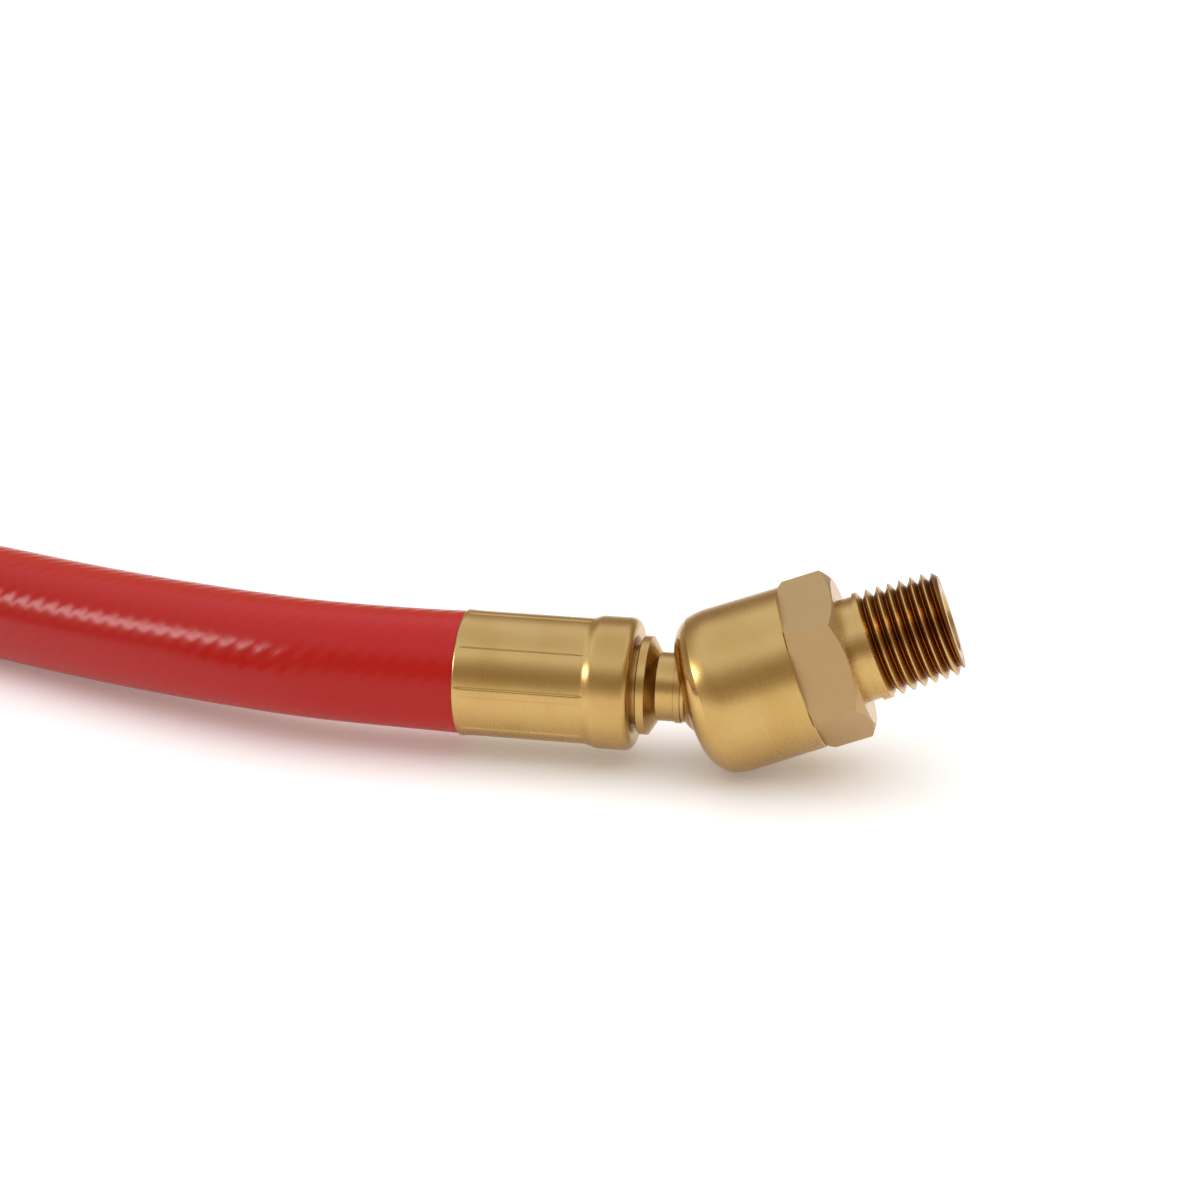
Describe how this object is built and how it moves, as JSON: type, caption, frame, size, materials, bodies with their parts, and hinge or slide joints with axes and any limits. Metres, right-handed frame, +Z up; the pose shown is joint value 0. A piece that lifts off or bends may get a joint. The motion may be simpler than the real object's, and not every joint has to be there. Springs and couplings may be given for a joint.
{
  "type": "whip hose with a ball swivel end",
  "caption": "Short reinforced air or fluid hose with a crimped brass ball swivel and taper male thread at one end and a rigid male end at the other.",
  "frame": {"origin": "on the surface the swivel end rests on, under the middle of the metal end's box (the hose's own pieces left out)", "axes": "+X along the stem from the hose towards the thread, +Z up; the coupling rests swung 21 degrees up and towards +Y"},
  "size_m": [0.3305, 0.1914, 0.0261],
  "materials": {
    "turned_brass": "satin",
    "crimped_brass": "satin",
    "hexagon_brass": "brushed",
    "red_pvc": "glossy",
    "liner_pvc": "matte",
    "braid_yarn": "woven",
    "seal_rubber": "matte",
    "seat_polymer": "matte",
    "spring_steel": "satin"
  },
  "bodies": {
    "hose": {"stem": "turned_brass", "ferrule": "crimped_brass", "hose_end_liner": "liner_pvc", "hose_end_braid": "braid_yarn", "hose_end_cover": "red_pvc", "hose_run": "red_pvc", "far_ferrule": "crimped_brass", "far_fitting": "turned_brass", "far_end_liner": "liner_pvc", "far_end_braid": "braid_yarn", "far_end_cover": "red_pvc"},
    "stop_ring": {"neck_ring": "turned_brass"},
    "seat": {"ball_seat": "seat_polymer", "seat_oring": "seal_rubber", "backing_washer": "turned_brass", "wave_spring": "spring_steel"},
    "coupling": {"socket_cap": "turned_brass", "adapter": "hexagon_brass", "body_oring": "seal_rubber"}
  },
  "joints": [
    {"name": "stem_spin", "type": "hinge", "parent": "hose", "child": "stop_ring", "pos_m": [0.00183, -0.00079, 0.01015], "axis": [1, 0, 0], "continuous": true},
    {"name": "swing", "type": "hinge", "parent": "stop_ring", "child": "seat", "pos_m": [0.00183, -0.00079, 0.01015], "axis": [0, -0.95, 0.3123], "range_deg": [-43, 1]},
    {"name": "coupling_spin", "type": "hinge", "parent": "seat", "child": "coupling", "pos_m": [0.00183, -0.00079, 0.01015], "axis": [0.9336, 0.1119, 0.3404], "continuous": true}
  ]
}
